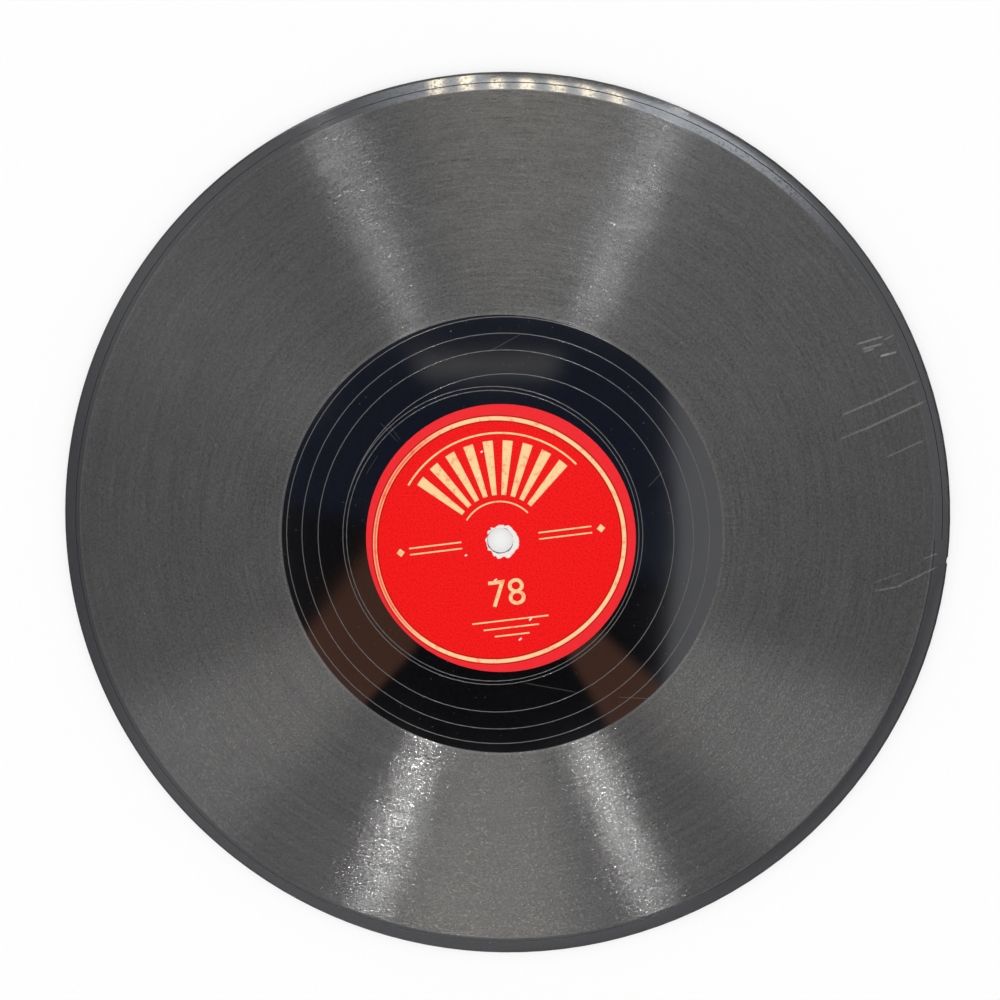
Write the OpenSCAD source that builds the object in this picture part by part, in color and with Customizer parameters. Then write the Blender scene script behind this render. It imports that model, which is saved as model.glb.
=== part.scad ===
// Ten-inch laminated shellac record, lying flat with its first side up.
// Millimetres. The origin is the spindle axis on the underside.

/* [Disc] */
// Outside diameter
disc_d = 250.8; // [248:0.1:254]
// Overall thickness
disc_t = 2.1; // [1.9:0.05:2.6]
// Spindle hole diameter
hole_d = 7.3; // [7.2:0.01:7.5]
// Rounding of the rim's two edges
edge_r = 0.9; // [0.6:0.05:0.95]

/* [Layers] */
// Thickness of each fine shellac face
face_t = 0.35; // [0.3:0.01:0.45]
// Thickness of each paper ply between a face and the core
ply_t = 0.1; // [0.06:0.01:0.15]
// Ring of core between a ply's edge and the rim
ply_margin = 2; // [1.2:0.1:4]

/* [Label] */
// Label diameter
label_d = 76.4; // [72:0.1:77]
// Thickness of the label paper, pressed in flush
label_t = 0.12; // [0.08:0.01:0.16]
// Paper left back from the edge of the spindle hole
label_hole_gap = 0.15; // [0.05:0.05:0.6]
// Diameter of the ring that the press leaves in the label
press_ring_d = 69.4; // [64:0.1:71]
// Width of that ring
press_ring_w = 0.6; // [0.4:0.05:1]
// Depth of that ring
press_ring_depth = 0.05; // [0.02:0.01:0.06]

/* [Grooves] */
// Width of the plain grooves at the surface
groove_w = 0.24; // [0.16:0.01:0.3]
// Depth of the plain grooves
groove_depth = 0.1; // [0.06:0.01:0.15]
// Radius where the lead-in groove starts
lead_r = 123; // [122:0.1:123.6]
// Pitch of the lead-in groove
lead_pitch = 2; // [1:0.1:2.4]
// Radius where the run-out groove starts
runout_r = 63.2; // [62.6:0.1:64]
// Pitch of the run-out groove before it speeds up
runout_pitch = 4.4; // [4:0.1:4.7]
// Radius of the outer locked groove
locked_r = 42.5; // [42:0.1:43.5]
// Spacing of the two locked grooves
locked_gap = 1.05; // [0.6:0.05:1.3]
// Distance of the locked grooves from the spindle axis
locked_shift = 2.4; // [1.5:0.1:2.6]
// Turn of the run-out about the spindle axis, in degrees
runout_turn = -13; // [-180:1:180]

/* [Fits] */
// Gap around a label or a ply in its seat
seat_gap = 0.05; // [0.02:0.01:0.1]

/* [Hidden] */
$fn = 180;
disc_r = disc_d / 2;
hole_r = hole_d / 2;
label_r = label_d / 2;
ply_r = disc_r - ply_margin;
core_z = face_t + ply_t;
face_z = disc_t - face_t;
// A cutter reaches this far past the surface that it cuts
over = 0.05;
// Half turns of the lead-in, and of the run-out with those at steady pitch
lead_halves = 2;
runout_halves = 7;
steady_halves = 4;
// The later half turns widen by growing squares until they meet the locked groove
widening = (runout_r - runout_halves * runout_pitch / 2 - locked_r - locked_shift)
    / squares(runout_halves - steady_halves);

// Sum of the first n squares
function squares(n) = n * (n + 1) * (2 * n + 1) / 6;

// Radii where the spirals cross the line of their two centres, after k half turns
function lead_cross(k) = lead_r - k * lead_pitch / 2;
function runout_cross(k) =
    runout_r - k * runout_pitch / 2 - widening * squares(max(0, k - steady_halves));

// Half section of the whole disc, with its rounded rim
module disc_section() {
    translate([hole_r, 0]) square([disc_r - edge_r - hole_r, disc_t]);
    translate([disc_r - 2 * edge_r, edge_r]) square([2 * edge_r, disc_t - 2 * edge_r]);
    for (z = [edge_r, disc_t - edge_r]) translate([disc_r - edge_r, z]) circle(edge_r);
}

// Half section of one layer, cut from the whole disc so that the rim runs through
module layer_section(z_low, z_high) {
    intersection() {
        disc_section();
        translate([0, z_low]) square([disc_r + over, z_high - z_low]);
    }
}

// V section of a plain groove, with its mouth on the upper surface
module groove_section(r) {
    lip = groove_w / 2 * (1 + over / groove_depth);
    translate([r, disc_t]) polygon([[-lip, over], [0, -groove_depth], [lip, over]]);
}

// One half turn of a spiral, about the middle of its two crossings
module half_turn(k, r_from, r_to) {
    rotate(180 * k)
        translate([(r_from - r_to) / 2, 0, 0])
            rotate_extrude(angle = 180) groove_section((r_from + r_to) / 2);
}

// The groove that carries a needle in from the rim
module lead_in() {
    for (k = [0 : lead_halves - 1]) half_turn(k, lead_cross(k), lead_cross(k + 1));
}

// The spiral that ends a side, running into two circles set off the spindle axis
module run_out() {
    rotate(runout_turn) {
        for (k = [0 : runout_halves - 1])
            half_turn(k, runout_cross(k), runout_cross(k + 1));
        for (r = [locked_r, locked_r - locked_gap])
            translate([-locked_shift, 0, 0]) rotate_extrude() groove_section(r);
    }
}

// Turns a piece of the first side over to the second
module second_side() {
    translate([0, 0, disc_t]) rotate([180, 0, 0]) children();
}

// Seat of a paper ply in the core's upper surface
module ply_seat_section() {
    translate([hole_r - over, face_z - ply_t]) square([ply_r - hole_r + over, ply_t + over]);
}

// Coarse core, with a ring at the rim that closes onto the faces
module core_disc() {
    color("#4a4238") difference() {
        rotate_extrude() layer_section(face_t, face_z);
        rotate_extrude() ply_seat_section();
        second_side() rotate_extrude() ply_seat_section();
    }
}

// Kraft paper between the core and a face
module paper_ply() {
    color("#a88a5c") rotate_extrude()
        translate([hole_r, face_z - ply_t]) square([ply_r - seat_gap - hole_r, ply_t]);
}

// Fine shellac face, with the label's seat and the plain grooves
module playing_face() {
    color("#1b1b20") difference() {
        rotate_extrude() layer_section(face_z, disc_t);
        rotate_extrude() translate([hole_r - over, disc_t - label_t])
            square([label_r + seat_gap - hole_r + over, label_t + over]);
        lead_in();
        run_out();
    }
}

// Paper label, marked by the ring of the press
module label() {
    hole = hole_r + label_hole_gap;
    color("#d8202a") rotate_extrude() difference() {
        translate([hole, disc_t - label_t]) square([label_r - hole, label_t]);
        translate([press_ring_d / 2, disc_t]) scale([press_ring_w / 2, press_ring_depth])
            polygon([[-1, 0], [-0.4, -1], [0.4, -1], [1, 0], [1, 1], [-1, 1]]);
    }
}

module paper_ply_a() { paper_ply(); }
module paper_ply_b() { second_side() paper_ply(); }
module playing_face_a() { playing_face(); }
module playing_face_b() { second_side() playing_face(); }
module label_a() { label(); }
module label_b() { second_side() label(); }

core_disc();
paper_ply_a();
paper_ply_b();
playing_face_a();
playing_face_b();
label_a();
label_b();
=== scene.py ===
# Looks of a ten-inch shellac record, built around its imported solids.
import math
import random

import bmesh
import bpy
from bpy.props import FloatProperty, FloatVectorProperty, PointerProperty
from mathutils import Matrix, Vector


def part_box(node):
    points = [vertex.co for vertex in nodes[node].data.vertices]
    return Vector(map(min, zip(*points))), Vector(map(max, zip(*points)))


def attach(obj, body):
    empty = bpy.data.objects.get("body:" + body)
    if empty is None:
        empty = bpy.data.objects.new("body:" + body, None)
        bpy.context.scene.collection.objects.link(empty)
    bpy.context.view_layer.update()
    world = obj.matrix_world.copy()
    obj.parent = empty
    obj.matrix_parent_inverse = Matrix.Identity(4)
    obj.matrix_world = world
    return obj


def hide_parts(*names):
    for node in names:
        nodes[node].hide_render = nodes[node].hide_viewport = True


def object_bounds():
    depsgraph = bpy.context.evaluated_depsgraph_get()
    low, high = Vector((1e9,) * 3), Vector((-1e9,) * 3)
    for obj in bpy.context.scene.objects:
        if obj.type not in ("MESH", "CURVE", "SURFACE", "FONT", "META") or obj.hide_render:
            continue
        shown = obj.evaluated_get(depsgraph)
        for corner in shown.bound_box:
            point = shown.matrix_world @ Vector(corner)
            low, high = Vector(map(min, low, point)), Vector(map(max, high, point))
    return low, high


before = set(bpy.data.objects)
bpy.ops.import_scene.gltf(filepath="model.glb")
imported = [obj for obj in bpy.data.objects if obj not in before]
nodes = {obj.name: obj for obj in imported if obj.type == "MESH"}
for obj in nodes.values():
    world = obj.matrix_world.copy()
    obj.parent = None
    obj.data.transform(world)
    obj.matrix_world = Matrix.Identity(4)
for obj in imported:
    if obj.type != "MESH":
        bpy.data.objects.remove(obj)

bl_info = {
    "name": "Shellac record",
    "version": (1, 0, 0),
    "blender": (4, 5, 0),
    "location": "3D View > Sidebar > Record",
    "description": "Dresses the packed record in shellac and paper, and lights it",
    "category": "Object",
}

MM = 0.001
HALF_TURN_STEPS = 64
LABEL_STEPS = 180
# Millimetres from a label's hole to the rows of points that its tear bends
TEAR_ROWS = (0.35, 0.8, 1.6)
# Steps round the hole that one coarse tear takes up
TEAR_STEPS = 9
TEAR_SEED = 78
# Points this near each other are merged
WELD_GAP = 0.001 * MM
FINE_GAP = 0.0001 * MM
SMOOTH_DEGREES = 30
PRINT_THICK = 0.008 * MM
PRINT_TILT = math.radians(7)
SPEED = "78"
SPEED_SIZE = 11 * MM
SPEED_PLACE = (0, -15.5 * MM, 0)
RAYS = 9
# Height and half length of the short rules under the hole, in millimetres
SHORT_RULES = ((-23.0, 11.0), (-25.2, 8.0), (-27.4, 5.0))
# Angle, half width in degrees and lift in millimetres of the shreds round the hole
SHREDS = ((98, 16, 0.22), (4, 13, 0.2), (215, 20, 0.1), (300, 18, 0.08))
# Angle, inset, width and height of the chips in the rim, in degrees and millimetres
CHIPS = (
    (-2.6, 0.75, 1.5, 1.9),
    (-12.1, 0.3, 1.3, 1.2),
    (-14.7, 0.28, 1.2, 1.1),
    (38.0, 0.25, 0.9, 0.8),
)
# Start, end, width and strength of the scratches, in millimetres
SCRATCHES = (
    ((96.8, 53.6), (104.3, 55.8), 0.36, 0.5),
    ((98.4, 52.3), (104.1, 53.8), 0.42, 0.5),
    ((99.0, 51.6), (101.8, 52.5), 0.34, 0.45),
    ((103.5, 50.4), (106.0, 51.1), 0.4, 1.0),
    ((104.4, 50.6), (108.0, 51.6), 0.36, 0.6),
    ((104.3, 54.7), (106.8, 56.1), 0.3, 0.35),
    ((93.5, 34.4), (106.0, 39.9), 0.4, 0.38),
    ((101.0, 37.5), (114.5, 44.1), 0.4, 0.38),
    ((93.3, 27.9), (104.0, 32.5), 0.34, 0.34),
    ((98.5, 29.9), (116.8, 38.6), 0.42, 0.4),
    ((106.2, 22.9), (116.8, 27.9), 0.3, 0.32),
    ((105.0, -14.4), (113.4, -12.7), 0.32, 0.35),
    ((110.4, -13.6), (122.6, -7.2), 0.32, 0.32),
    ((104.2, -12.2), (113.0, -8.9), 0.3, 0.16),
    ((117.9, -5.3), (122.2, -3.6), 0.32, 0.3),
    ((-3.5, 52.2), (6.2, 57.3), 0.2, 0.14),
    ((41.2, 14.8), (45.6, 19.7), 0.2, 0.14),
    ((6.2, -41.3), (22.4, -44.2), 0.2, 0.16),
    ((33.4, -45.5), (43.5, -45.9), 0.2, 0.16),
    ((-33.8, 33.6), (-28.4, 27.6), 0.18, 0.12),
    ((-37.9, 18.6), (-34.2, 24.4), 0.18, 0.1),
    ((-31.6, 33.4), (-27.6, 28.0), 0.18, 0.1),
)
# Start and end of the nicks that bare the label's paper, in millimetres
NICKS = (
    ((-6.4, 18.1), (-5.6, 18.8)),
    ((-1.9, -11.6), (-0.9, -11.0)),
    ((8.2, -23.1), (9.0, -22.1)),
    ((5.2, -28.9), (6.1, -28.1)),
    ((-10.1, -4.4), (-9.4, -4.0)),
    ((-5.4, 24.8), (-4.8, 25.3)),
)
NICK_WIDTH = 0.32
WHITE = (1.0, 1.0, 1.0)
BLACK = (0.005, 0.005, 0.01)
NAVY = (0.075, 0.105, 0.23)
BROWN = (0.84, 0.36, 0.21)
# Place and aim, width and height in millimetres, beam in degrees and power in watts of the lamps
LAMPS = (
    ("far_left_strip", (-215, 395, 225), (28, -70, 2), 6, 120, 11, 0.0049),
    ("near_left_strip", (-197, 405, 225), (28, -70, 2), 6, 120, 11, 0.0049),
    ("right_strip", (153, 400, 225), (-25, -69, 2), 6, 120, 11, 0.0108),
    ("upper_left_strip", (-166, 337, 262), (-28, 68, 2), 10, 60, 12, 0.0118),
    ("upper_right_strip", (145, 337, 262), (25, 66, 2), 8, 60, 12, 0.0128),
)
# Direction and half width in degrees and share of full strength of the soft cards
CARDS = ((91, 16, 1.0), (151, 13, 0.95), (31, 13, 0.8))
# Light that gloss shows in the surround
SURROUND = (0.85, 0.85, 0.88)
CARD_LIGHT = (5.0, 5.0, 5.0)
FRONT_CARD = 0.25
OVERHEAD = (1.6, 1.62, 1.7)
DUSK = (0.6, 0.6, 0.72)
RIM_LIGHT = (8.0, 8.4, 9.0)
# First place of the row of bulbs and the step to the next, in millimetres
BULB_FIRST = (-45, 243, 302)
BULB_STEP = (17.9, -1.4, 0)
BULB_COUNT = 7
BULB_SIDE = 8 * MM
BULB_STRETCH = 5.5
BULB_STRENGTH = 32.0
FLOOR_SIDE = 6
FLOOR_GAP = 0.05 * MM
SENSOR_WIDTH = 36
CLIP_START = 0.01
cad_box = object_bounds()
face_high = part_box("playing_face_a")[1]
label_low, label_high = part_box("label_a")


def ink(red, green, blue):
    """A colour as it looks on a screen, from 0 to 255, as the linear values that shaders use."""
    shares = [value / 255 for value in (red, green, blue)]
    return tuple(s / 12.92 if s <= 0.04045 else ((s + 0.055) / 1.055) ** 2.4 for s in shares)


def scaled(colour, factor):
    """A colour made darker or paler by a factor."""
    return tuple(min(1.0, value * factor) for value in colour)


def opaque(colour):
    """A colour with the fourth value that a colour socket takes."""
    return (*colour, 1.0)


def length(name, description, default):
    """A size in metres that a user may change."""
    return FloatProperty(name=name, description=description, default=default, min=0, unit="LENGTH")


def tint(name, description, default):
    """A colour that a user may change."""
    return FloatVectorProperty(
        name=name, description=description, default=default, size=3, min=0, max=1, subtype="COLOR")


def share(name, description, default):
    """A value from 0 to 1 that a user may change."""
    return FloatProperty(
        name=name, description=description, default=default, min=0, max=1, subtype="FACTOR")


class RecordSizes(bpy.types.PropertyGroup):
    """Sizes on the record's sides that only the looks need."""

    band_inner: length("Band inside", "Radius where the recorded band ends", 62.4 * MM)
    band_outer: length("Band outside", "Radius where the recorded band starts", 120.8 * MM)
    groove_pitch: length("Groove pitch", "Step of the recorded groove from turn to turn", 0.26 * MM)
    groove_land: length("Land", "Flat shellac between two turns of the groove", 0.1 * MM)
    groove_depth: length("Groove depth", "Depth of the recorded groove", 0.0735 * MM)
    press_ring: length("Press ring", "Radius of the ring that the press leaves in a label", 34.7 * MM)
    paper_hole: length("Paper hole", "Mean radius of the torn hole in a label", 3.74 * MM)
    ring_radius: length("Printed ring", "Mean radius of the ring printed on the label", 34.97 * MM)
    ring_width: length("Printed ring width", "Width of the ring printed on the label", 1.1 * MM)


class RecordFinishes(bpy.types.PropertyGroup):
    """Colours and gloss of the record's materials."""

    shellac: tint("Shellac", "Black of the pressed faces", ink(9, 9, 11))
    dust: tint("Dust", "Grey of dust and of worn groove walls", ink(170, 168, 164))
    core: tint("Core", "Coarse compound that shows at the rim", ink(58, 55, 48))
    ply: tint("Ply", "Kraft paper inside the disc", ink(150, 118, 78))
    label_red: tint("Label red", "Printed red of the label", ink(250, 20, 20))
    # Paler red outside the printed ring, a painted pinkish sheen
    label_edge_sheen: tint("Label edge", "Paler red outside the printed ring", ink(240, 46, 54))
    cream: tint("Cream print", "Pale print on the label", ink(252, 212, 155))
    bare_paper: tint("Bare paper", "Paper that shows where print is torn off", ink(238, 234, 228))
    plain_roughness: share("Plain roughness", "Roughness of the plain pressed shellac", 0.045)
    land_roughness: share("Land roughness", "Roughness of the flat land between turns", 0.21)
    wall_roughness: share("Wall roughness", "Roughness of the groove walls", 0.18)
    rim_roughness: share("Rim roughness", "Roughness of the rubbed rim and of the plain grooves", 0.55)
    groove_sheen: share("Groove sheen", "How strongly the grooves draw light out into fans", 1.0)


class RecordStudio(bpy.types.PropertyGroup):
    """Place of the camera."""

    eye: FloatVectorProperty(
        name="Eye", description="Place of the camera", size=3, unit="LENGTH",
        default=(6.79 * MM, 30.54 * MM, 255.05 * MM))
    aim: FloatVectorProperty(
        name="Aim", description="Point that the camera looks at", size=3, unit="LENGTH",
        default=(-2.1 * MM, -3.1 * MM, 1.05 * MM))
    lens: FloatProperty(name="Lens", description="Focal length in millimetres", default=32.4, min=1)
    shift: FloatVectorProperty(
        name="Shift", description="Shift of the picture in its frame", size=2, default=(0.007, 0.051))
    roll: FloatProperty(
        name="Roll", description="Lean of the camera to its right", subtype="ANGLE", default=0.0046)


class Wire:
    """An output socket of a node tree, on which sums add Math nodes."""

    def __init__(self, socket):
        self.socket = socket

    @staticmethod
    def make(tree, kind, settings=None, sockets=None, output=0):
        """Adds a node of this kind with its settings, feeds its sockets and gives one output."""
        made = tree.nodes.new(kind)
        for name, value in (settings or {}).items():
            if name == "stops":
                set_stops(made.color_ramp, value)
            else:
                setattr(made, name, value)
        for name, value in (sockets or {}).items():
            if isinstance(value, Wire):
                tree.links.new(value.socket, made.inputs[name])
            else:
                made.inputs[name].default_value = value
        return Wire(made.outputs[output]) if made.outputs else None

    def other(self, output):
        """Another output of the same node."""
        return Wire(self.socket.node.outputs[output])

    def node(self, kind, settings=None, sockets=None, output=0):
        """A node of this kind in the same tree."""
        return Wire.make(self.socket.id_data, kind, settings, sockets, output)

    def math(self, operation, *values):
        """This value, and any others, through a Math node."""
        return self.node("ShaderNodeMath", {"operation": operation}, dict(enumerate((self, *values))))

    def __add__(self, value):
        return self.math("ADD", value)

    def __mul__(self, value):
        return self.math("MULTIPLY", value)

    def __sub__(self, value):
        return self.math("SUBTRACT", value)

    def __rsub__(self, value):
        return self.node("ShaderNodeMath", {"operation": "SUBTRACT"}, {0: value, 1: self})

    def __truediv__(self, value):
        return self.math("DIVIDE", value)

    __radd__ = __add__


def set_stops(ramp, stops):
    """Sets a colour ramp to these places and colours."""
    while len(ramp.elements) < len(stops):
        ramp.elements.new(0.5)
    for element, (place, colour) in zip(ramp.elements, stops):
        element.position = place
        element.color = opaque(colour)


def ease(value, low, high):
    """0 below low and 1 above high, or the other way round, with a soft step between."""
    return value.node(
        "ShaderNodeMapRange", {"interpolation_type": "SMOOTHSTEP"},
        {"Value": value, "From Min": low, "From Max": high})


def between(value, low, high, soft):
    """1 between low and high, and 0 outside, with soft edges."""
    return ease(value, low - soft, low + soft) * ease(value, high + soft, high - soft)


def tone(share_of, first, second):
    """A colour between the first and the second."""
    first, second = (c if isinstance(c, Wire) else opaque(c) for c in (first, second))
    return share_of.node(
        "ShaderNodeMix", {"data_type": "RGBA"}, {0: share_of, 6: first, 7: second}, output=2)


def join(x, y, z):
    """A vector from three values."""
    wire = next(value for value in (x, y, z) if isinstance(value, Wire))
    return wire.node("ShaderNodeCombineXYZ", None, {0: x, 1: y, 2: z})


def cloud(spot, scale, detail=2.0, rough=0.5):
    """Soft noise about 0.5, with about this many lumps to a unit of the spot."""
    return spot.node(
        "ShaderNodeTexNoise", None,
        {"Vector": spot, "Scale": scale, "Detail": detail, "Roughness": rough})


def specks(spot, scale, few, size):
    """Round specks in a few of the cells of a grid with this many cells to a unit."""
    cells = spot.node(
        "ShaderNodeTexVoronoi", {"feature": "F1"}, {"Vector": spot, "Scale": scale, "Randomness": 1.0})
    chance = cells.node("ShaderNodeSeparateColor", None, {0: cells.other("Color")})
    return ease(chance, 1 - few, 1 - few * 0.6) * ease(cells.other("Distance"), size, size * 0.5)


class Sides:
    """Millimetre places that patterns are drawn from. The shift moves a side's noise."""

    def __init__(self, tree, shift):
        metres = Wire.make(tree, "ShaderNodeTexCoord", None, None, "Object")
        self.spot = metres.node(
            "ShaderNodeMapping", {"vector_type": "POINT"},
            {"Vector": metres, "Scale": (1 / MM, 1 / MM, 1 / MM)})
        self.x = metres.node("ShaderNodeSeparateXYZ", None, {0: self.spot})
        self.y = self.x.other("Y")
        middle = (cad_box[0].z + cad_box[1].z) / 2 / MM
        # Depth under the nearer side
        self.depth = middle - (self.x.other("Z") - middle).math("ABSOLUTE")
        self.radius = (self.x * self.x + self.y * self.y).math("SQRT")
        self.shift = shift
        self.loose = self.spot.node(
            "ShaderNodeVectorMath", {"operation": "ADD"}, {0: self.spot, 1: (shift, shift, 0)})

    def rings(self, turns, rows):
        """A place whose noise draws out into rings, with rows to a millimetre."""
        out = self.x / self.radius * turns + self.shift
        up = self.y / self.radius * turns
        return join(out, up, self.radius * rows)

    def scratch(self, start, end, width):
        """1 on a thin straight mark between two places in millimetres."""
        run = Vector(end) - Vector(start)
        along = run.normalized()
        middle = (Vector(start) + Vector(end)) / 2
        across = Vector((-along.y, along.x))
        run_place = self.x.math("MULTIPLY_ADD", along.x, self.y * along.y) - middle.dot(along)
        side_place = self.x.math("MULTIPLY_ADD", across.x, self.y * across.y) - middle.dot(across)
        half = run.length / 2
        return ease(side_place.math("ABSOLUTE"), width, width * 0.3) * ease(
            run_place.math("ABSOLUTE"), half, half * 0.7)


def hold(piece):
    """Selects one piece alone."""
    bpy.ops.object.select_all(action="DESELECT")
    piece.select_set(True)
    bpy.context.view_layer.objects.active = piece


def open_mesh(piece, kind="VERT"):
    """Opens a piece in edit mode with nothing selected."""
    hold(piece)
    bpy.ops.object.mode_set(mode="EDIT")
    bpy.ops.mesh.select_mode(type=kind)
    bpy.ops.mesh.select_all(action="DESELECT")
    return bmesh.from_edit_mesh(piece.data)


def close_mesh():
    """Leaves edit mode."""
    bpy.ops.object.mode_set(mode="OBJECT")


def pick(piece, elements, wanted):
    """Selects the elements of an open mesh that pass a test."""
    for element in elements:
        element.select_set(wanted(element))
    bmesh.update_edit_mesh(piece.data)


def merge_all(gap=WELD_GAP):
    """Merges the doubled points of the open mesh."""
    bpy.ops.mesh.select_all(action="SELECT")
    bpy.ops.mesh.remove_doubles(threshold=gap)


def turn_out():
    """Points every face of the open mesh outwards."""
    bpy.ops.mesh.select_all(action="SELECT")
    bpy.ops.mesh.normals_make_consistent(inside=False)


def out_from_axis(point):
    """Distance of a point from the spindle axis."""
    return math.hypot(point.x, point.y)


def draw_profile(name, corners):
    """A row of edges through corners given as radius and height, drawn by pulling one point along."""
    bpy.ops.object.select_all(action="DESELECT")
    bpy.ops.mesh.primitive_plane_add(size=MM)
    piece = bpy.context.object
    piece.name = name
    open_mesh(piece)
    bpy.ops.mesh.select_all(action="SELECT")
    bpy.ops.mesh.merge(type="CENTER")
    places = [Vector((radius, 0, height)) for radius, height in corners]
    bpy.ops.mesh.select_all(action="SELECT")
    bpy.ops.transform.translate(value=places[0])
    for first, second in zip(places, places[1:]):
        bpy.ops.mesh.extrude_region_move(TRANSFORM_OT_translate={"value": second - first})
    close_mesh()
    return piece


def revolve(piece, steps):
    """Turns a closed profile round the spindle axis into a solid."""
    open_mesh(piece)
    merge_all()
    bpy.ops.mesh.spin(steps=steps, angle=2 * math.pi, center=(0, 0, 0), axis=(0, 0, 1))
    merge_all()
    turn_out()
    close_mesh()


def copy_piece(piece, name):
    """A copy of a piece with its own mesh."""
    other = bpy.data.objects.new(name, piece.data.copy())
    bpy.context.scene.collection.objects.link(other)
    return other


def copy_solid(node, name):
    """A new piece from a solid, with its points merged."""
    piece = copy_piece(nodes[node], name)
    hold(piece)
    bpy.ops.mesh.customdata_custom_splitnormals_clear()
    open_mesh(piece)
    merge_all()
    close_mesh()
    return piece


def cut_away(piece, cutter):
    """Cuts one closed shape out of a piece."""
    hold(piece)
    cut = piece.modifiers.new("cut", "BOOLEAN")
    cut.operation = "DIFFERENCE"
    cut.solver = "EXACT"
    cut.object = cutter
    bpy.ops.object.modifier_apply(modifier=cut.name)
    bpy.data.objects.remove(cutter)


def smooth(piece):
    """Shades a piece smooth across its gentle edges."""
    hold(piece)
    bpy.ops.object.shade_smooth_by_angle(angle=math.radians(SMOOTH_DEGREES))
    level = piece.modifiers.new("level", "WEIGHTED_NORMAL")
    level.keep_sharp = True
    bpy.ops.object.modifier_apply(modifier=level.name)


def turn_over(piece):
    """Turns a piece of the first side over to the second side."""
    middle = Vector((0, 0, (cad_box[0].z + cad_box[1].z) / 2))
    flip = Matrix.Rotation(math.pi, 4, "X")
    piece.data.transform(Matrix.Translation(middle) @ flip @ Matrix.Translation(-middle))


def coat(piece, finish):
    """Gives a piece one material."""
    piece.data.materials.clear()
    piece.data.materials.append(finish)


def dress(name, finish):
    """Gives a solid its finish."""
    piece = nodes[name]
    coat(piece, finish)


def settle(piece, finish, slot, *stands_for):
    """Gives a finished piece its material and its body, and hides the solids that it stands for."""
    coat(piece, finish)
    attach(piece, "root")
    if stands_for:
        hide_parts(*stands_for)


def groove_band(sizes):
    """The recorded groove: one V groove that winds in on two centres, half a turn on each."""
    pitch, land = sizes.groove_pitch, sizes.groove_land
    top = face_high.z
    start = sizes.band_outer - land
    turns = int((start - sizes.band_inner) / pitch) - 1
    bottom = start - land - (pitch - land) / 2
    band = draw_profile("groove_band", (
        (start, top), (start - land, top), (bottom, top - sizes.groove_depth), (start - pitch, top)))
    hold(band)
    rows = band.modifiers.new("turns", "ARRAY")
    rows.count = turns
    rows.use_relative_offset = False
    rows.use_constant_offset = True
    rows.constant_offset_displace = (-pitch, 0, 0)
    rows.use_merge_vertices = True
    rows.merge_threshold = WELD_GAP
    bpy.ops.object.modifier_apply(modifier=rows.name)
    open_mesh(band)
    bpy.ops.mesh.select_all(action="SELECT")
    for centre in (pitch / 4, -pitch / 4):
        bpy.ops.mesh.spin(
            steps=HALF_TURN_STEPS, angle=-math.pi, center=(centre, 0, 0), axis=(0, 0, 1))
    merge_all(2 * WELD_GAP)
    close_mesh()
    return band


def recorded_face(sizes):
    """The upper shellac face, with its plain land replaced by the recorded groove."""
    face = copy_solid("playing_face_a", "shellac_face_a")
    top, inner, outer = face_high.z, sizes.band_inner, sizes.band_outer
    reach = 0.2 * MM
    ring = draw_profile("ring_cut", (
        (inner, top - reach), (outer, top - reach), (outer, top + reach),
        (inner, top + reach), (inner, top - reach)))
    revolve(ring, 4 * HALF_TURN_STEPS)
    cut_away(face, ring)
    near = 0.02 * MM

    def in_ring(part):
        place = part.calc_center_median()
        within = inner - near < out_from_axis(place) < outer + near
        return within and top - reach - near < place.z < top - FINE_GAP

    open_face = open_mesh(face, "FACE")
    pick(face, open_face.faces, in_ring)
    bpy.ops.mesh.delete(type="FACE")
    close_mesh()
    band = groove_band(sizes)
    hold(face)
    band.select_set(True)
    bpy.ops.object.join()
    # Filling merges points under 0.03 units apart, so the gaps are filled at millimetre scale
    face.data.transform(Matrix.Scale(1 / MM, 4))
    middle = (inner + outer) / 2 / MM
    for outside in (False, True):
        open_face = open_mesh(face, "EDGE")
        pick(face, open_face.edges, lambda edge: edge.is_boundary and (
            out_from_axis(edge.verts[0].co) > middle) == outside)
        bpy.ops.mesh.fill(use_beauty=True)
        close_mesh()
    face.data.transform(Matrix.Scale(MM, 4))
    open_mesh(face)
    turn_out()
    close_mesh()
    return face


def chip_rim(piece, angle, inset, wide, tall, seed):
    """Breaks a small chip out of the rim's upper edge."""
    sunk, ragged, stretch = 0.4 * tall, 0.12 * wide, 1.5
    turn = math.radians(angle)
    out = cad_box[1].x - inset + wide / 2
    place = (out * math.cos(turn), out * math.sin(turn), face_high.z - sunk)
    bpy.ops.object.select_all(action="DESELECT")
    bpy.ops.mesh.primitive_ico_sphere_add(subdivisions=2, radius=wide / 2)
    cutter = bpy.context.object
    open_mesh(cutter)
    bpy.ops.mesh.select_all(action="SELECT")
    bpy.ops.transform.vertex_random(offset=ragged, seed=seed)
    bpy.ops.transform.resize(value=(1, stretch, tall / wide * 2))
    close_mesh()
    cutter.data.transform(Matrix.Translation(place) @ Matrix.Rotation(turn, 4, "Z"))
    cut_away(piece, cutter)


def wear_rim(piece):
    """Breaks every chip out of a piece's rim."""
    for seed, (angle, inset, wide, tall) in enumerate(CHIPS):
        chip_rim(piece, angle, inset * MM, wide * MM, tall * MM, seed)


def paper_label(sizes):
    """A paper disc with the press ring sunk in it and rows of points to tear round its hole."""
    hole, ring = sizes.paper_hole, sizes.press_ring
    top, bottom, out = label_high.z, label_low.z, label_high.x
    half, flat, sunk = 0.3 * MM, 0.12 * MM, 0.05 * MM
    slope, drop = 0.06 * MM, 0.03 * MM
    label = draw_profile("paper_label_a", (
        (hole, top), *((hole + row * MM, top) for row in TEAR_ROWS),
        (ring - half, top), (ring - flat, top - sunk), (ring + flat, top - sunk), (ring + half, top),
        (out - slope, top), (out, top - drop), (out, bottom), (hole, bottom), (hole, top)))
    revolve(label, LABEL_STEPS)
    return label


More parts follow.
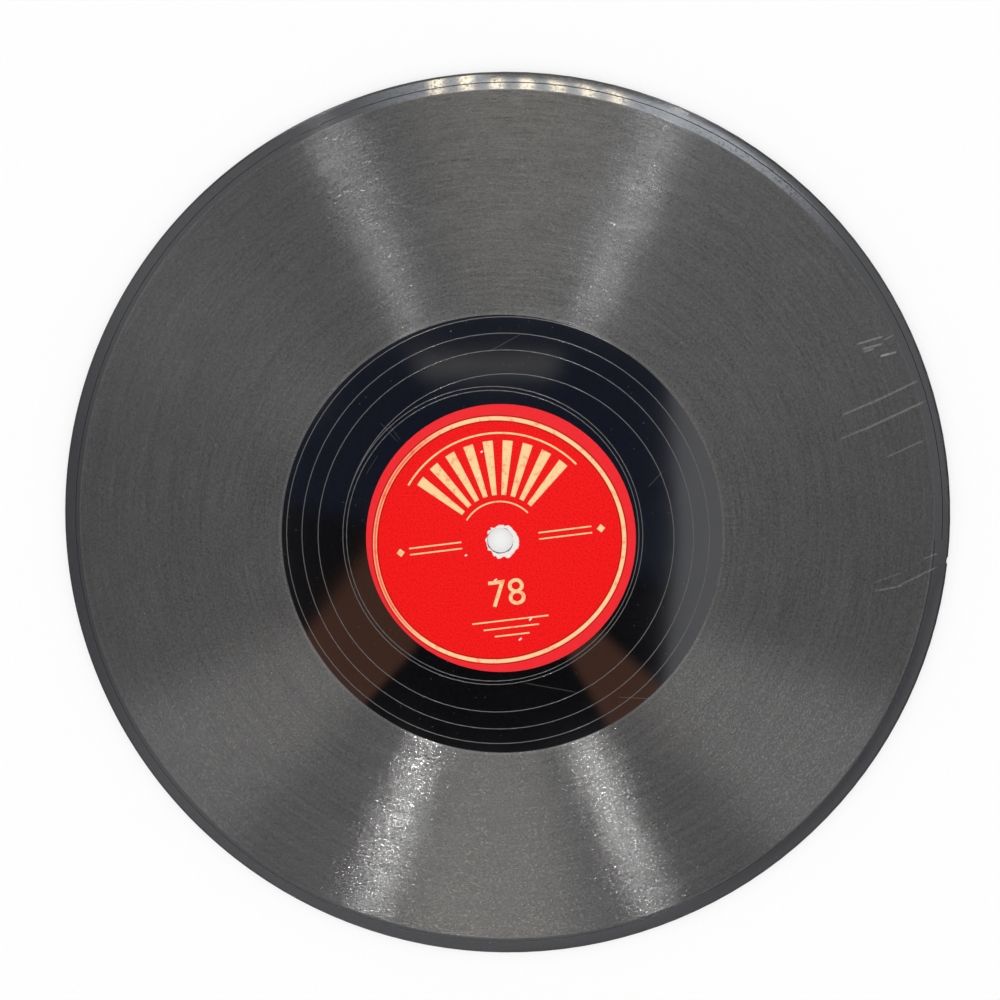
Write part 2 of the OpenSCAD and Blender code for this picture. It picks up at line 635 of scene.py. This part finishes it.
def tear_hole(label, hole, shreds):
    """Makes the paper's edge round the hole ragged, with a few lifted shreds."""
    reach, fade_over = 0.9 * MM, 0.8 * MM
    fine, broad = 0.05, 0.12
    draw = random.Random(TEAR_SEED)
    ragged = [draw.uniform(-1, 1) for number in range(LABEL_STEPS)]
    coarse = [draw.uniform(-1, 1) for number in range(LABEL_STEPS // TEAR_STEPS)]
    open_label = open_mesh(label)
    for point in open_label.verts:
        radius = out_from_axis(point.co)
        if radius > hole + reach:
            continue
        turn = math.atan2(point.co.y, point.co.x) % (2 * math.pi)
        step = int(turn / (2 * math.pi) * LABEL_STEPS + 0.5) % LABEL_STEPS
        fade = max(0.0, 1 - (radius - hole) / fade_over)
        torn = fine * ragged[step] + broad * coarse[step // TEAR_STEPS % len(coarse)]
        move = torn * MM * fade
        lift = 0.0
        for angle, wide, high in shreds:
            gap = abs((math.degrees(turn) - angle + 180) % 360 - 180)
            lift += high * MM * max(0.0, 1 - gap / wide) * fade
        point.co.x *= (radius + move) / radius
        point.co.y *= (radius + move) / radius
        point.co.z += lift
    bmesh.update_edit_mesh(label.data)
    close_mesh()


def numeral(name, body, size, place):
    """A printed number that lies on the first side's label."""
    bpy.ops.object.select_all(action="DESELECT")
    bpy.ops.object.text_add()
    printed = bpy.context.object
    printed.name = name
    printed.data.body = body
    printed.data.align_x = "CENTER"
    printed.data.align_y = "CENTER"
    printed.data.size = size
    printed.data.extrude = PRINT_THICK
    printed.data.resolution_u = 6
    bpy.ops.object.convert(target="MESH")
    open_mesh(printed)
    merge_all(FINE_GAP)
    close_mesh()
    tilt = Matrix.Rotation(PRINT_TILT, 4, "Z")
    printed.data.transform(Matrix.Translation((0, 0, label_high.z)) @ tilt @ Matrix.Translation(place))
    return printed


def new_finish(name):
    """A material with an empty node tree."""
    material = bpy.data.materials.new(name)
    material.use_nodes = True
    material.node_tree.nodes.clear()
    return material


def principled(material, sockets):
    """Ends a material in one Principled shader with these sockets."""
    tree = material.node_tree
    surface = Wire.make(tree, "ShaderNodeBsdfPrincipled", None, sockets)
    Wire.make(tree, "ShaderNodeOutputMaterial", None, {"Surface": surface})
    return material


def bump(height, strength, reach, **under):
    """A normal from a height, in metres of reach, over any normal under it."""
    sockets = {"Height": height, "Strength": strength, "Distance": reach, **under}
    return height.node("ShaderNodeBump", None, sockets)


def shellac_finish(name, scratches, shift):
    """Black shellac: glossy where plain, satin with glints where recorded, dusty and worn."""
    sizes, looks = bpy.context.scene.record_sizes, bpy.context.scene.record_finishes
    material = new_finish(name)
    side = Sides(material.node_tree, shift)
    inner, outer = sizes.band_inner / MM, sizes.band_outer / MM
    band = between(side.radius, inner, outer, 0.12)
    wall = ease(side.depth, 0.004, 0.012)
    # Noise that follows the turns, and noise that doesn't
    turns = cloud(side.rings(3.0, 1.1), 1.0, 5.0, 0.66)
    sound = cloud(side.rings(86.0, 1.9), 1.0, 2.0, 0.6)
    loud = ease(cloud(side.rings(50.0, 1.3), 1.0, 2.0, 0.6), 0.38, 0.68) * 0.4 + 0.6
    ripple = cloud(side.rings(14.0, 9.0), 1.0, 1.0, 0.5)
    grain = cloud(side.loose, 1.5, 3.0, 0.75)
    patches = cloud(side.loose, 0.045, 3.0, 0.55)
    worn = (turns - 0.5) * 0.45 + (grain - 0.5) * 0.75
    worn = worn + (sound - 0.5) * 0.4 + (patches - 0.5) * 0.15
    glint = ease(cloud(side.rings(115.0, 2.6), 1.0, 1.0, 0.5), 0.55, 0.62) * band * wall
    packed = wall * ease(side.radius, inner + 1.2, inner + 0.6)
    haze = ease(cloud(side.loose, 2.2, 4.0, 0.8), 0.45, 0.8) * 0.022
    marks = specks(side.loose, 0.3, 0.1, 0.09) * 0.4 + specks(side.loose, 1.1, 0.04, 0.22) * 0.25
    for start, end, width, strength in scratches:
        marks = marks.math("MAXIMUM", side.scratch(start, end, width) * strength)
    # The walls are greyer towards the label
    worn_grey = (worn * 1.5 + 0.5) * (0.31 - (side.radius - inner) * 0.0019)
    grey = (band * worn_grey + haze - band * haze).math("MAXIMUM", packed * 0.3)
    pale = grey + glint * 0.12 + marks * 0.6
    colour = tone(pale.math("MINIMUM", 1.0), looks.shellac, looks.dust)
    # Roughness of the plain shellac and the land, then of the walls and the rim
    scuffs = ease(side.radius, outer - 0.2, outer) * (ease(grain, 0.48, 0.66) * 0.12 + 0.04)
    flat = (patches - 0.5) * 0.04 + looks.plain_roughness + scuffs
    flat = flat + band * (looks.land_roughness - looks.plain_roughness)
    rubbed = looks.rim_roughness + band * (looks.wall_roughness - looks.rim_roughness)
    rough = flat + wall * (rubbed - flat) + band * (worn * 0.12)
    walls = bump(sound, band * wall * loud, 0.088 * MM)
    return principled(material, {
        "Base Color": colour,
        "Roughness": rough.math("MAXIMUM", 0.03),
        "Metallic": glint,
        "IOR": 1.56,
        "Anisotropic": looks.groove_sheen,
        "Anisotropic Rotation": 0.25,
        "Normal": bump(ripple, band - band * wall, 0.035 * MM, Normal=walls),
    })


def core_finish():
    """Coarse compound with light and dark grains."""
    looks = bpy.context.scene.record_finishes
    material = new_finish("coarse core compound")
    side = Sides(material.node_tree, 7.0)
    grain = cloud(side.spot, 3.5, 4.0, 0.7)
    stops = ((0.3, scaled(looks.core, 0.45)), (0.5, looks.core), (0.72, scaled(looks.core, 2.2)))
    colour = grain.node("ShaderNodeValToRGB", {"stops": stops}, {0: grain})
    return principled(material, {
        "Base Color": colour,
        "Roughness": grain * 0.3 + 0.35,
        "Normal": bump(grain, 0.5, 0.04 * MM),
    })


def ply_finish():
    """Kraft paper with long fibres."""
    looks = bpy.context.scene.record_finishes
    material = new_finish("kraft paper ply")
    side = Sides(material.node_tree, 3.0)
    drawn = side.spot.node(
        "ShaderNodeMapping", {"vector_type": "POINT"},
        {"Vector": side.spot, "Rotation": (0, 0, math.radians(12)), "Scale": (0.5, 2.4, 2.4)})
    fibres = cloud(drawn, 1.4, 4.0, 0.65)
    return principled(material, {
        "Base Color": tone(fibres, scaled(looks.ply, 0.55), looks.ply),
        "Roughness": fibres * 0.2 + 0.75,
        "Normal": bump(fibres, 0.3, 0.03 * MM),
    })


def sunburst(across, up):
    """The label's print: rays over the hole, rules beside it and short rules under it."""
    out = (across * across + up * up).math("SQRT")
    turn = up.math("ARCTAN2", across)
    upright, step = math.radians(90), math.radians(11.5)
    half_fan = step * RAYS / 2
    fan = between(turn, upright - half_fan, upright + half_fan, 0.004)
    # The half puts a ray in the middle, and the whole steps keep the place above 0
    place = ((turn - upright) / step + 20.5).math("FRACT")
    ray = ease((place - 0.5).math("ABSOLUTE"), 0.27, 0.23)
    burst = fan * ray * between(out, 13.0, 28.2, 0.1)
    arcs = fan * between(out, 30.0, 30.5, 0.08) + fan * between(out, 10.9, 11.3, 0.08)
    wide = across.math("ABSOLUTE")
    tall = up.math("ABSOLUTE")
    rules = between(wide, 11.0, 26.0, 0.1) * between(tall, 0.7, 1.1, 0.08)
    studs = ease((wide - 28.6).math("ABSOLUTE") + tall, 1.25, 1.1)
    print_mask = burst + arcs + rules + studs
    for low, half in SHORT_RULES:
        rule = between(up, low - 0.2, low + 0.2, 0.08) * ease(wide, half + 0.1, half - 0.1)
        print_mask = print_mask + rule
    return print_mask.math("MINIMUM", 1.0)


def label_finish(name, shift):
    """Red paper with a cream ring and sunburst, a paler edge of painted sheen and bare paper round the
    hole.
    """
    sizes, looks = bpy.context.scene.record_sizes, bpy.context.scene.record_finishes
    material = new_finish(name)
    side = Sides(material.node_tree, shift)
    fibres = cloud(side.loose, 1.9, 3.0, 0.7)
    mottle = cloud(side.loose, 0.35, 3.0, 0.6)
    ring_r, ring_w = sizes.ring_radius / MM, sizes.ring_width / MM
    turn = side.y.math("ARCTAN2", side.x)
    # The ring is printed a little off the middle and out of round
    wander = (turn + 2.5).math("COSINE") * 0.84 + (turn * 2.0 - 0.71).math("COSINE") * 0.45
    wander = wander + (turn * 3.0 + 0.43).math("COSINE") * 0.37
    off = side.radius - ring_r - wander
    ring = ease(off.math("ABSOLUTE"), ring_w / 2 + 0.12, ring_w / 2 - 0.12)
    outline = ease((off.math("ABSOLUTE") - ring_w / 2 - 0.25).math("ABSOLUTE"), 0.24, 0.08)
    edge = ease(off, 0.0, 0.6)
    red = tone(ease(fibres, 0.3, 0.58), scaled(looks.label_red, 0.66), looks.label_red)
    # Outside the printed ring the red is painted paler and mottled, a painted sheen
    paper = tone(edge * (mottle * 0.6 + 0.45), red, looks.label_edge_sheen)
    lined = tone(outline * 0.75, paper, scaled(looks.label_red, 0.35))
    slope, level = math.sin(PRINT_TILT), math.cos(PRINT_TILT)
    across, up = side.x * level + side.y * slope, side.y * level - side.x * slope
    # Print wears thin, and the ring fades into a double line on one side
    worn_print = ease(cloud(side.loose, 0.5, 3.0, 0.6), 0.28, 0.5)
    faded = ease((turn - math.radians(175)).math("COSINE"), 0.45, 0.8)
    double = ease((off.math("ABSOLUTE") - 0.4).math("ABSOLUTE"), 0.2, 0.05)
    ring = ring - faded * (ring - double * 0.5 - ring * 0.25)
    inked = (ring + sunburst(across, up)).math("MINIMUM", 1.0) * (worn_print * 0.5 + 0.5)
    printed = tone(inked, lined, looks.cream)
    torn_from = ((side.x - 0.5) * (side.x - 0.5) + (side.y + 0.3) * (side.y + 0.3)).math("SQRT")
    torn = ease(torn_from + (cloud(side.loose, 0.55, 2.0, 0.5) - 0.5) * 2.6, 4.75, 4.55)
    for start, end in NICKS:
        torn = torn.math("MAXIMUM", side.scratch(start, end, NICK_WIDTH))
    return principled(material, {
        "Base Color": tone(torn, printed, looks.bare_paper),
        "Roughness": fibres * 0.25 + 0.42,
        "Specular IOR Level": 0.06,
        "Normal": bump(fibres, 0.25, 0.03 * MM),
    })


def print_finish():
    """Cream printing ink, a little rubbed."""
    looks = bpy.context.scene.record_finishes
    material = new_finish("cream printing ink")
    side = Sides(material.node_tree, 0.0)
    rubbed = ease(cloud(side.loose, 0.9, 3.0, 0.65), 0.3, 0.55)
    return principled(material, {
        "Base Color": tone(rubbed * 0.5 + 0.5, looks.label_red, looks.cream),
        "Roughness": rubbed * 0.15 + 0.5,
        "Specular IOR Level": 0.1,
    })


class RECORD_OT_core(bpy.types.Operator):
    """Finishes the core and the two paper plies"""

    bl_idname = "record.core"
    bl_label = "Core and plies"

    def execute(self, context):
        core = copy_solid("core_disc", "core_disc_worn")
        wear_rim(core)
        smooth(core)
        settle(core, core_finish(), "core", "core_disc")
        paper = ply_finish()
        dress("paper_ply_a", paper)
        dress("paper_ply_b", paper)
        return {"FINISHED"}


class RECORD_OT_faces(bpy.types.Operator):
    """Makes the two shellac faces"""

    bl_idname = "record.faces"
    bl_label = "Shellac faces"

    def execute(self, context):
        first = recorded_face(context.scene.record_sizes)
        second = copy_piece(first, "shellac_face_b")
        turn_over(second)
        wear_rim(first)
        smooth(first)
        smooth(second)
        settle(first, shellac_finish("shellac first side", SCRATCHES, 0.0), "shellac", "playing_face_a")
        settle(second, shellac_finish("shellac second side", (), 300.0), "shellac", "playing_face_b")
        return {"FINISHED"}


class RECORD_OT_labels(bpy.types.Operator):
    """Makes the two paper labels"""

    bl_idname = "record.labels"
    bl_label = "Paper labels"

    def execute(self, context):
        sizes = context.scene.record_sizes
        first = paper_label(sizes)
        second = copy_piece(first, "paper_label_b")
        tear_hole(first, sizes.paper_hole, SHREDS)
        tear_hole(second, sizes.paper_hole, ())
        turn_over(second)
        smooth(first)
        smooth(second)
        settle(first, label_finish("label paper first side", 0.0), "label_paper", "label_a")
        settle(second, label_finish("label paper second side", 90.0), "label_paper", "label_b")
        cream = print_finish()
        speed = numeral("speed_number_a", SPEED, SPEED_SIZE, SPEED_PLACE)
        settle(speed, cream, "label_paper")
        turned = copy_piece(speed, "speed_number_b")
        turn_over(turned)
        settle(turned, cream, "label_paper")
        return {"FINISHED"}


def stage_finish(name, colour, strength):
    """A plain even glow."""
    material = new_finish(name)
    tree = material.node_tree
    glow = Wire.make(
        tree, "ShaderNodeEmission", None, {"Color": opaque(colour), "Strength": strength})
    Wire.make(tree, "ShaderNodeOutputMaterial", None, {"Surface": glow})
    return material


def only_reflected(thing):
    """Keeps a lamp or card out of the picture and out of the light on matt surfaces."""
    thing.visible_camera = False
    thing.visible_diffuse = False
    thing.visible_shadow = False


def add_lamp(name, place, aim, wide, tall, beam, power):
    """A gridded strip lamp that shines at one part of the record and only shows as a reflection."""
    bpy.ops.object.light_add(type="AREA", location=place)
    lamp = bpy.context.object
    lamp.name = name
    lamp.data.shape = "RECTANGLE"
    lamp.data.size = wide
    lamp.data.size_y = tall
    lamp.data.energy = power
    lamp.data.spread = math.radians(beam)
    lamp.rotation_euler = (aim - place).to_track_quat("-Z", "Y").to_euler()
    only_reflected(lamp)


def add_floor():
    """A pale plain floor under the record."""
    bpy.ops.object.select_all(action="DESELECT")
    bpy.ops.mesh.primitive_plane_add(size=FLOOR_SIDE, location=(0, 0, cad_box[0].z - FLOOR_GAP))
    floor = bpy.context.object
    floor.name = "floor"
    material = new_finish("pale floor")
    tree = material.node_tree
    matt = Wire.make(tree, "ShaderNodeBsdfPrincipled", None, {
        "Base Color": opaque((0.98, 0.98, 0.98)), "Roughness": 0.9, "Specular IOR Level": 0.0})
    camera_ray = Wire.make(tree, "ShaderNodeLightPath", None, None, "Is Camera Ray")
    seen = camera_ray + camera_ray.other("Is Glossy Ray") + camera_ray.other("Is Transmission Ray")
    glow = Wire.make(tree, "ShaderNodeEmission", None, {"Color": opaque(WHITE), "Strength": 1.0})
    surface = seen.node("ShaderNodeMixShader", None, {0: seen * 0.5, 1: matt, 2: glow})
    Wire.make(tree, "ShaderNodeOutputMaterial", None, {"Surface": surface})
    floor.data.materials.append(material)


def mirrored_shade(across, up):
    """What plain shellac mirrors overhead: black and navy, two brown wedges and a pale glow."""
    shade = tone(ease(up + across * 0.2, -8.0, 4.0), BLACK, NAVY)
    # Straight edges bound each wedge, with soft steps in millimetres
    left = ease((across + 43.1) * 0.797 - (up + 7.65) * 0.605, -1.0, 3.0)
    left = left * ease((up + 43.2) * 0.682 - (across + 34.7) * 0.731, -1.0, 2.0)
    left = left * ease(across, -18.0, -28.0)
    right = ease(across * 0.875 + up * 0.485, -1.0, 3.0)
    right = right * ease(across * -0.669 - up * 0.743, -2.0, 3.0)
    glow = between(up, 45.5, 52.0, 2.0) * between(across, -23.0, 16.0, 5.0)
    shade = tone((left + right).math("MINIMUM", 1.0), shade, BROWN)
    return tone(glow, shade, WHITE)


def card_strength(x, y, z):
    """Strength of the soft cards in a direction, with a faint one in front."""
    turn = y.math("ARCTAN2", x)
    cards = between(z, 0.2, 0.6, 0.12) * ease(y, -0.1, -0.7) * FRONT_CARD
    for middle, half, strength in CARDS:
        low, high = math.radians(middle - half), math.radians(middle + half)
        cards = cards + between(turn, low, high, 0.1) * between(z, 0.2, 0.7, 0.12) * strength
    return cards


def add_world(eye):
    """An even white surround, in which gloss also shows soft cards and a dim patch overhead."""
    world = bpy.data.worlds.new("plain studio")
    world.use_nodes = True
    tree = world.node_tree
    tree.nodes.clear()
    way = Wire.make(tree, "ShaderNodeTexCoord", None, None, "Generated")
    x = way.node("ShaderNodeSeparateXYZ", None, {0: way})
    y, z = x.other("Y"), x.other("Z")
    # Where the camera sees this direction mirrored on the record, in millimetres
    rise = z.math("MAXIMUM", 0.04)
    height = (eye.z - face_high.z) / MM
    across = x / rise * height + eye.x / MM
    up = y / rise * height + eye.y / MM
    away = (across * across + up * up).math("SQRT")
    dim = ease(away, 71.0, 66.0) * ease(across + up.math("ABSOLUTE") * 0.06, 50.3, 49.3)
    far_rim = ease(away, 104.0, 112.0) * between(across, -25.0, 80.0, 20.0)
    far_rim = far_rim * between(up, 75.0, 150.0, 15.0)
    dusk = ease(across * 0.87 - up * 0.5, 106.0, 118.0) + ease(across, -110.0, -120.0)
    bright = tone(card_strength(x, y, z), SURROUND, CARD_LIGHT)
    bright = tone(ease(z, 0.7, 0.86), bright, OVERHEAD)
    bright = tone(dusk * ease(away, 150.0, 138.0), bright, DUSK)
    reflected = tone(dim, tone(far_rim, bright, RIM_LIGHT), mirrored_shade(across, up))
    glossy = Wire.make(tree, "ShaderNodeLightPath", None, None, "Is Glossy Ray")
    colour = tone(glossy, WHITE, reflected)
    sky = Wire.make(tree, "ShaderNodeBackground", None, {"Color": colour, "Strength": 1.0})
    Wire.make(tree, "ShaderNodeOutputWorld", None, {"Surface": sky})
    bpy.context.scene.world = world


def add_bulbs():
    """A row of small lamps above the far edge, seen only in the rim's gloss."""
    glow = stage_finish("bulb row", ink(255, 243, 218), BULB_STRENGTH)
    for number in range(BULB_COUNT):
        place = [(first + step * number) * MM for first, step in zip(BULB_FIRST, BULB_STEP)]
        bpy.ops.object.select_all(action="DESELECT")
        bpy.ops.mesh.primitive_plane_add(size=BULB_SIDE, location=place)
        bulb = bpy.context.object
        bulb.name = f"bulb_{number}"
        open_mesh(bulb)
        bpy.ops.mesh.select_all(action="SELECT")
        bpy.ops.transform.resize(value=(1, BULB_STRETCH, 1))
        close_mesh()
        bulb.data.materials.append(glow)
        only_reflected(bulb)


def add_camera(studio):
    """A camera at the photograph's viewing angle."""
    eye, aim = Vector(studio.eye), Vector(studio.aim)
    bpy.ops.object.camera_add()
    camera = bpy.context.object
    camera.name = "camera"
    back = (eye - aim).normalized()
    upright = Vector((math.sin(studio.roll), math.cos(studio.roll), 0))
    right = upright.cross(back).normalized()
    turned = Matrix((right, back.cross(right), back)).transposed().to_4x4()
    camera.matrix_world = Matrix.Translation(eye) @ turned
    camera.data.lens = studio.lens
    camera.data.sensor_width = SENSOR_WIDTH
    camera.data.shift_x, camera.data.shift_y = studio.shift
    camera.data.clip_start = CLIP_START
    bpy.context.scene.camera = camera


class RECORD_OT_studio(bpy.types.Operator):
    """Sets the floor, the light and the camera"""

    bl_idname = "record.studio"
    bl_label = "Floor, light and camera"

    def execute(self, context):
        studio = context.scene.record_studio
        add_floor()
        add_world(Vector(studio.eye))
        add_bulbs()
        for name, place, aim, wide, tall, beam, power in LAMPS:
            add_lamp(name, Vector(place) * MM, Vector(aim) * MM, wide * MM, tall * MM, beam, power)
        add_camera(studio)
        context.scene.view_settings.view_transform = "Standard"
        return {"FINISHED"}


class RECORD_PT_panel(bpy.types.Panel):
    """Lists the record's steps and sizes"""

    bl_idname = "RECORD_PT_panel"
    bl_label = "Shellac record"
    bl_space_type = "VIEW_3D"
    bl_region_type = "UI"
    bl_category = "Record"

    def draw(self, context):
        layout = self.layout
        for operator in OPERATORS:
            layout.operator(operator.bl_idname)
        for group in GROUPS:
            values = getattr(context.scene, group)
            for name in values.bl_rna.properties.keys():
                if name not in ("rna_type", "name"):
                    layout.prop(values, name)


OPERATORS = (RECORD_OT_core, RECORD_OT_faces, RECORD_OT_labels, RECORD_OT_studio)
GROUPS = {
    "record_sizes": RecordSizes,
    "record_finishes": RecordFinishes,
    "record_studio": RecordStudio,
}
CLASSES = (*GROUPS.values(), *OPERATORS, RECORD_PT_panel)


def register():
    """Adds the record's classes and settings."""
    for item in CLASSES:
        bpy.utils.register_class(item)
    for name, group in GROUPS.items():
        setattr(bpy.types.Scene, name, PointerProperty(type=group))


def unregister():
    """Takes the record's settings and classes away."""
    for name in GROUPS:
        delattr(bpy.types.Scene, name)
    for item in reversed(CLASSES):
        bpy.utils.unregister_class(item)


def main():
    """Builds the record's looks."""
    register()
    bpy.ops.record.core()
    bpy.ops.record.faces()
    bpy.ops.record.labels()
    bpy.ops.record.studio()
    bpy.context.view_layer.update()


if __name__ == "__main__":
    main()
